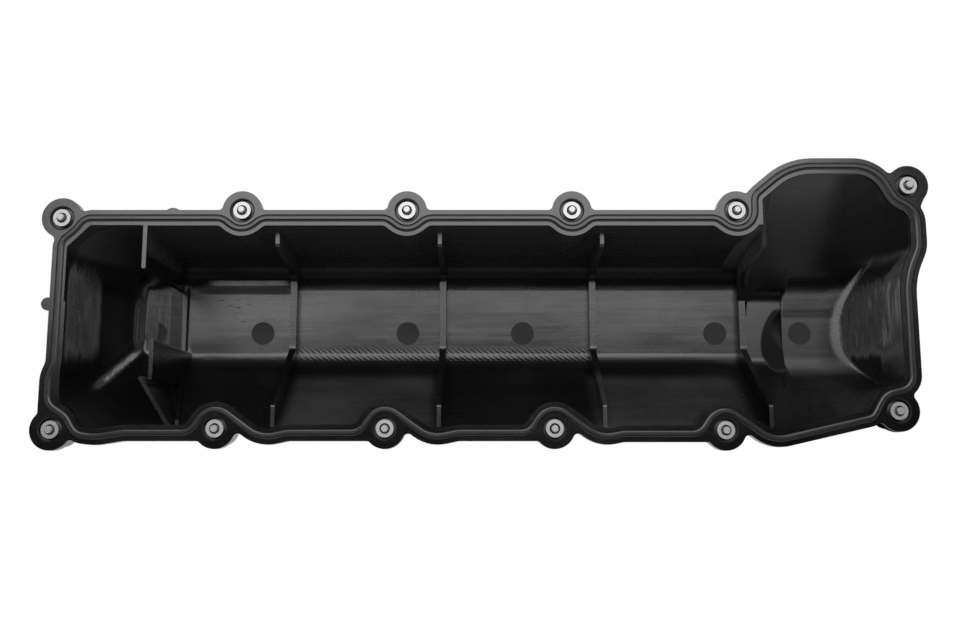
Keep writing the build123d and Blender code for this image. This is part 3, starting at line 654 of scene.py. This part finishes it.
def hexagon_head(across, top, height, chamfer):
    """Hexagon head below its seat, with its outer corners turned off."""
    inner, half_side = across / 2, math.pi / HEAD_SIDES
    reach = inner / math.cos(half_side)
    count = HEAD_SIDES * POINTS_PER_SIDE
    verts, rings = [(0.0, 0.0, top)], [[0]]
    for radius, level, cut in (
        (None, top, 0.0), (None, top - height + chamfer, chamfer),
        (inner * HEAD_FACE, top - height, 0.0),
    ):
        ring = []
        for step in range(count):
            angle = 2 * math.pi * step / count
            within = (angle + half_side) % (2 * half_side) - half_side
            flat = inner / math.cos(within)
            length = flat if radius is None else radius
            drop = cut * (flat - inner) / (reach - inner)
            ring.append(len(verts))
            verts.append((length * math.cos(angle), length * math.sin(angle), level + drop))
        rings.append(ring)
    rings.append([len(verts)])
    verts.append((0.0, 0.0, top - height))
    return verts, skin(rings, count)


def joined(parts):
    """One list of points and faces from several."""
    verts, faces = [], []
    for part_verts, part_faces in parts:
        start = len(verts)
        verts += part_verts
        faces += [tuple(index + start for index in face) for face in part_faces]
    return verts, faces


def thread_tree(material):
    """Geometry Nodes tree that winds a thread round a bolt and joins it to the shank."""
    tree = bpy.data.node_groups.new("bolt_thread", "GeometryNodeTree")
    sockets = tree.interface
    sockets.new_socket("Geometry", in_out="INPUT", socket_type="NodeSocketGeometry")
    for name in ("Pitch", "Root Radius", "Crest Radius", "Top", "Bottom", "Place X", "Place Y"):
        sockets.new_socket(name, in_out="INPUT", socket_type="NodeSocketFloat")
    sockets.new_socket("Steps Per Turn", in_out="INPUT", socket_type="NodeSocketInt")
    sockets.new_socket("Material", in_out="INPUT", socket_type="NodeSocketMaterial")
    sockets.new_socket("Geometry", in_out="OUTPUT", socket_type="NodeSocketGeometry")
    r = Recipe(tree)
    entry = tree.nodes.new("NodeGroupInput")
    given = {socket.name: Value(r, socket) for socket in entry.outputs if socket.name}
    length = given["Top"] - given["Bottom"]
    turns = length / given["Pitch"]
    depth = given["Crest Radius"] - given["Root Radius"]
    spiral = r.node("GeometryNodeCurveSpiral", None, {
        "Resolution": given["Steps Per Turn"], "Rotations": turns,
        "Start Radius": given["Root Radius"], "End Radius": given["Root Radius"],
        "Height": length, "Reverse": False,
    })
    upright = r.node("GeometryNodeSetCurveNormal", {"mode": "Z_UP"}, {"Curve": spiral})
    half = given["Pitch"] * RIDGE_HALF
    ridge = r.node("GeometryNodeCurvePrimitiveQuadrilateral", {"mode": "POINTS"}, {
        "Point 1": r.point(RIDGE_SUNK * depth, half, 0.0),
        "Point 2": r.point(RIDGE_SUNK * depth, -1.0 * half, 0.0),
        "Point 3": r.point(depth, -RIDGE_CREST * half, 0.0),
        "Point 4": r.point(depth, RIDGE_CREST * half, 0.0),
    })
    thread = r.node("GeometryNodeCurveToMesh", None, {
        "Curve": upright, "Profile Curve": ridge, "Fill Caps": True,
    })
    place = r.point(given["Place X"], given["Place Y"], given["Bottom"])
    moved = r.node("GeometryNodeTransform", None, {"Geometry": thread, "Translation": place})
    both = tree.nodes.new("GeometryNodeJoinGeometry")
    tree.links.new(moved.socket, both.inputs[0])
    tree.links.new(given["Geometry"].socket, both.inputs[0])
    real = r.node("GeometryNodeRealizeInstances", None, {"Geometry": Value(r, both.outputs[0])})
    coated = r.node("GeometryNodeSetMaterial", None, {
        "Geometry": real, "Material": given["Material"],
    })
    leave = tree.nodes.new("NodeGroupOutput")
    tree.links.new(coated.socket, leave.inputs[0])
    return tree


def mesh_object(name, verts, faces):
    """A new object at the origin with its place in its mesh."""
    mesh = bpy.data.meshes.new(name)
    mesh.from_pydata(verts, [], faces)
    mesh.validate()
    piece = bpy.data.objects.new(name, mesh)
    bpy.context.scene.collection.objects.link(piece)
    return piece


def grown(piece, tree, values):
    """Runs a Geometry Nodes tree on a piece and leaves one plain mesh."""
    modifier = piece.modifiers.new("grow", "NODES")
    modifier.node_group = tree
    for socket in tree.interface.items_tree:
        if socket.in_out == "INPUT" and socket.name in values:
            modifier[socket.identifier] = values[socket.name]
    piece.update_tag()
    bpy.context.view_layer.update()
    ready = piece.evaluated_get(bpy.context.evaluated_depsgraph_get())
    mesh = bpy.data.meshes.new_from_object(ready)
    piece.modifiers.remove(modifier)
    piece.data = mesh
    return piece


def smooth_up_to(piece, degrees):
    """Smooth shading, with edges sharper than the angle left crisp."""
    for polygon in piece.data.polygons:
        polygon.use_smooth = True
    piece.data.set_sharp_from_angle(angle=math.radians(degrees))


# What a user may change

class PlasticFinish(bpy.types.PropertyGroup):
    """Finish of the black moulding."""
    grey: FloatProperty(name="Grey", description="Base grey of the plastic", default=0.0045)
    roughness: FloatProperty(
        name="Roughness", description="Mean roughness of the moulding", default=0.28,
        subtype="FACTOR", min=0.0, max=1.0,
    )
    relief: FloatProperty(
        name="Relief", description="Strength of the mould marks", default=1.0, min=0.0, max=2.0
    )
    # Grey of the painted light on the long walls, which stands in for the light they catch
    painted_wall_light: FloatProperty(
        name="Painted wall light", description="Grey of the dull film on the walls", default=0.06
    )


class RubberFinish(bpy.types.PropertyGroup):
    """Finish of the seal and the grommets."""
    grey: FloatProperty(name="Grey", description="Base grey of the rubber", default=0.006)
    roughness: FloatProperty(
        name="Roughness", description="Mean roughness of the rubber", default=0.31,
        subtype="FACTOR", min=0.0, max=1.0,
    )


class SteelFinish(bpy.types.PropertyGroup):
    """Finish of the sleeves, washers and bolts."""
    grey: FloatProperty(name="Grey", description="Base grey of the plating", default=0.74)
    roughness: FloatProperty(
        name="Roughness", description="Mean roughness of the plating", default=0.46,
        subtype="FACTOR", min=0.0, max=1.0,
    )


class BoltSizes(bpy.types.PropertyGroup):
    """Sizes of the captive bolts."""
    crest_radius: FloatProperty(
        name="Crest radius", description="Outer radius of the thread", default=0.003, unit="LENGTH"
    )
    root_radius: FloatProperty(
        name="Root radius", description="Radius at the thread's root", default=0.00245,
        unit="LENGTH",
    )
    shank_radius: FloatProperty(
        name="Shank radius", description="Radius of the thinner shank", default=0.0026,
        unit="LENGTH",
    )
    pilot_radius: FloatProperty(
        name="Pilot radius", description="Radius of the plain end", default=0.0022, unit="LENGTH"
    )
    pilot_length: FloatProperty(
        name="Pilot length", description="Length of the plain end", default=0.0036, unit="LENGTH"
    )
    pitch: FloatProperty(
        name="Pitch", description="Pitch of the thread", default=0.001, unit="LENGTH"
    )
    across_flats: FloatProperty(
        name="Across flats", description="Width of the hexagon head", default=0.010,
        unit="LENGTH",
    )
    head_height: FloatProperty(
        name="Head height", description="Height of the hexagon head", default=0.004,
        unit="LENGTH",
    )
    thread_end: FloatProperty(
        name="Thread end", description="Height at which the thread ends", default=-0.0208,
        unit="LENGTH",
    )
    steps: IntProperty(
        name="Steps per turn", description="Steps in one turn of the thread", default=20, min=8
    )


class StudioSettings(bpy.types.PropertyGroup):
    """Camera, lamps and backdrop."""
    eye: FloatVectorProperty(
        name="Eye", description="Place of the camera", size=3, subtype="TRANSLATION",
        unit="LENGTH", default=(0.0465, -0.16484, 0.63489),
    )
    tilt: FloatProperty(
        name="Tilt", description="Camera elevation above the horizon", subtype="ANGLE",
        default=math.radians(81.557),
    )
    lens: FloatProperty(name="Lens", description="Focal length in millimetres", default=38.4)
    key_brightness: FloatProperty(
        name="Key brightness", description="Radiance of the overhead panel", default=2.45
    )
    ceiling: FloatProperty(
        name="Ceiling", description="Brightness straight above the part", default=0.012
    )
    show_shadow: BoolProperty(
        name="Shadow", description="Keep the part's soft shadow on the floor", default=True
    )


# Studio, in metres

FLOOR_HALF, FLOOR_GAP = 6.0, 0.0004
FLOOR_PAINT, FLOOR_GLOW = 0.82, 0.988
WALL_LIGHT, CEILING_STEP = 0.5, (0.35, 0.75)
PANEL_PLACE, PANEL_SIZE = (-0.0285, 0.6844, 1.30), (1.59, 1.14)
SENSOR_WIDTH = 36.0
CLIP_RANGE = (0.01, 50.0)


# Steps

class VALVECOVER_OT_moulding(bpy.types.Operator):
    """Give the moulded cover its black plastic"""
    bl_idname = "valvecover.moulding"
    bl_label = "Finish Moulding"

    def execute(self, context):
        dress("cover", cover_plastic(context.scene.valvecover_plastic))
        return {"FINISHED"}


class VALVECOVER_OT_seal(bpy.types.Operator):
    """Give the seal and the grommets their rubber"""
    bl_idname = "valvecover.seal"
    bl_label = "Finish Rubber"

    def execute(self, context):
        rubber = seal_rubber(context.scene.valvecover_rubber)
        dress("gasket", rubber)
        for number in NUMBERS:
            dress(f"grommet_{number}", rubber)
        return {"FINISHED"}


class VALVECOVER_OT_fixings(bpy.types.Operator):
    """Plate the sleeves and washers, and make the threaded bolts"""
    bl_idname = "valvecover.fixings"
    bl_label = "Finish Fixings"

    def execute(self, context):
        sizes = context.scene.valvecover_bolt
        for number in NUMBERS:
            steel = plated_steel(context.scene.valvecover_steel, number)
            dress(f"sleeve_{number}", steel)
            dress(f"washer_{number}", steel)
            self.make_bolt(number, steel, sizes)
        return {"FINISHED"}

    def make_bolt(self, number, steel, sizes):
        low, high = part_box(f"bolt_{number}")
        place = PLACES[number]
        seat = low[2] + sizes.head_height
        top = high[2]
        foot = top - sizes.pilot_length
        out, up = SHANK_FILLET
        stem = lathe([
            (0.0, top), (sizes.pilot_radius - TIP_CHAMFER, top),
            (sizes.pilot_radius, top - TIP_CHAMFER),
            (sizes.pilot_radius, foot), (sizes.root_radius, foot - ROOT_STEP),
            (sizes.root_radius, sizes.thread_end), (sizes.shank_radius, sizes.thread_end),
            (sizes.shank_radius, seat + up), (sizes.shank_radius + out, seat), (0.0, seat),
        ], STEM_SEGMENTS)
        head = hexagon_head(sizes.across_flats, seat, sizes.head_height, HEAD_CHAMFER)
        verts, faces = joined([stem, head])
        verts = [(x + place.x, y + place.y, z) for x, y, z in verts]
        bolt = mesh_object(f"threaded_bolt_{number}", verts, faces)
        tree = bpy.data.node_groups.get("bolt_thread") or thread_tree(steel)
        grown(bolt, tree, {
            "Pitch": sizes.pitch, "Root Radius": sizes.root_radius,
            "Crest Radius": sizes.crest_radius, "Top": foot - RUN_OUT,
            "Bottom": sizes.thread_end + THREAD_GAP, "Place X": place.x, "Place Y": place.y,
            "Steps Per Turn": sizes.steps, "Material": steel,
        })
        smooth_up_to(bolt, CRISP_ANGLE)
        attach(bolt, f"bolt_body_{number}")
        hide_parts(f"bolt_{number}")


class VALVECOVER_OT_studio(bpy.types.Operator):
    """Set up the floor, the backdrop, the lamps and the camera"""
    bl_idname = "valvecover.studio"
    bl_label = "Set Up Studio"

    def execute(self, context):
        settings = context.scene.valvecover_studio
        self.make_floor(settings)
        self.light_world(settings)
        self.hang_panel("key_panel", PANEL_PLACE, PANEL_SIZE, settings.key_brightness)
        self.place_camera(settings)
        return {"FINISHED"}

    def make_floor(self, settings):
        half = FLOOR_HALF
        level = LOWEST - FLOOR_GAP
        corners = [(-half, -half, level), (half, -half, level), (half, half, level),
                   (-half, half, level)]
        floor = mesh_object("studio_floor", corners, [(0, 1, 2, 3)])
        material = bpy.data.materials.new("pale_floor")
        material.use_nodes = True
        material.node_tree.nodes.clear()
        r = Recipe(material.node_tree)
        rays = r.tree.nodes.new("ShaderNodeLightPath")
        kinds = "Camera", "Glossy", "Transmission"
        seen = r.most(*[Value(r, rays.outputs[f"Is {kind} Ray"]) for kind in kinds])
        paint = r.node("ShaderNodeBsdfDiffuse", None, {"Color": rgb(FLOOR_PAINT)})
        glow = r.node("ShaderNodeEmission", None, {"Color": rgb(1.0), "Strength": 1.0})
        share = seen * (FLOOR_GLOW if settings.show_shadow else 1.0)
        both = r.node("ShaderNodeMixShader", None, {"Fac": share, 1: paint, 2: glow})
        r.node("ShaderNodeOutputMaterial", None, {"Surface": both})
        floor.data.materials.append(material)

    def light_world(self, settings):
        world = bpy.data.worlds.new("studio")
        bpy.context.scene.world = world
        world.use_nodes = True
        world.node_tree.nodes.clear()
        r = Recipe(world.node_tree)
        rays = r.tree.nodes.new("ShaderNodeLightPath")
        direction = r.node("ShaderNodeTexCoord", None, None, "Generated")
        ceiling = r.smooth(r.parts(direction)[2], *CEILING_STEP)
        wall = WALL_LIGHT - ceiling * (WALL_LIGHT - settings.ceiling)
        strength = r.maths("MAXIMUM", wall, Value(r, rays.outputs["Is Camera Ray"]))
        light = r.node("ShaderNodeBackground", None, {"Color": rgb(1.0), "Strength": strength})
        r.node("ShaderNodeOutputWorld", None, {"Surface": light})

    def hang_panel(self, name, place, size, radiance):
        lamp = bpy.data.lights.new(name, "AREA")
        lamp.shape = "RECTANGLE"
        lamp.size, lamp.size_y = size
        lamp.energy = radiance * math.pi * size[0] * size[1]
        panel = bpy.data.objects.new(name, lamp)
        panel.location = place
        bpy.context.scene.collection.objects.link(panel)

    def place_camera(self, settings):
        data = bpy.data.cameras.new("photo_camera")
        data.sensor_width = SENSOR_WIDTH
        data.lens = settings.lens
        data.clip_start, data.clip_end = CLIP_RANGE
        camera = bpy.data.objects.new("photo_camera", data)
        tilt = settings.tilt
        ahead = Vector((0.0, math.cos(tilt), -math.sin(tilt)))
        up = Vector((0.0, math.sin(tilt), math.cos(tilt)))
        right = ahead.cross(up)
        turn = Matrix((right, up, -ahead)).transposed()
        camera.matrix_world = Matrix.Translation(Vector(settings.eye)) @ turn.to_4x4()
        bpy.context.scene.collection.objects.link(camera)
        bpy.context.scene.camera = camera
        bpy.context.scene.view_settings.view_transform = "Standard"


class VALVECOVER_PT_sidebar(bpy.types.Panel):
    """Sizes, finishes and steps of the valve cover"""
    bl_idname = "VALVECOVER_PT_sidebar"
    bl_label = "Valve Cover"
    bl_space_type = "VIEW_3D"
    bl_region_type = "UI"
    bl_category = "Valve Cover"

    def draw(self, context):
        for label, group, step in STEPS:
            box = self.layout.box()
            box.label(text=label)
            settings = getattr(context.scene, group)
            for name in type(settings).__annotations__:
                box.prop(settings, name)
            box.operator(step)


GROUPS = {
    "valvecover_plastic": PlasticFinish,
    "valvecover_rubber": RubberFinish,
    "valvecover_steel": SteelFinish,
    "valvecover_bolt": BoltSizes,
    "valvecover_studio": StudioSettings,
}
STEPS = (
    ("Moulding", "valvecover_plastic", "valvecover.moulding"),
    ("Rubber", "valvecover_rubber", "valvecover.seal"),
    ("Plating", "valvecover_steel", "valvecover.fixings"),
    ("Bolts", "valvecover_bolt", "valvecover.fixings"),
    ("Studio", "valvecover_studio", "valvecover.studio"),
)
OPERATORS = (
    VALVECOVER_OT_moulding,
    VALVECOVER_OT_seal,
    VALVECOVER_OT_fixings,
    VALVECOVER_OT_studio,
)


def register():
    for group in GROUPS.values():
        bpy.utils.register_class(group)
    for name, group in GROUPS.items():
        setattr(bpy.types.Scene, name, PointerProperty(type=group))
    for step in OPERATORS:
        bpy.utils.register_class(step)
    bpy.utils.register_class(VALVECOVER_PT_sidebar)


def unregister():
    bpy.utils.unregister_class(VALVECOVER_PT_sidebar)
    for step in reversed(OPERATORS):
        bpy.utils.unregister_class(step)
    for name in GROUPS:
        delattr(bpy.types.Scene, name)
    for group in reversed(list(GROUPS.values())):
        bpy.utils.unregister_class(group)


def main():
    register()
    bpy.ops.valvecover.moulding()
    bpy.ops.valvecover.seal()
    bpy.ops.valvecover.fixings()
    bpy.ops.valvecover.studio()


if __name__ == "__main__":
    main()
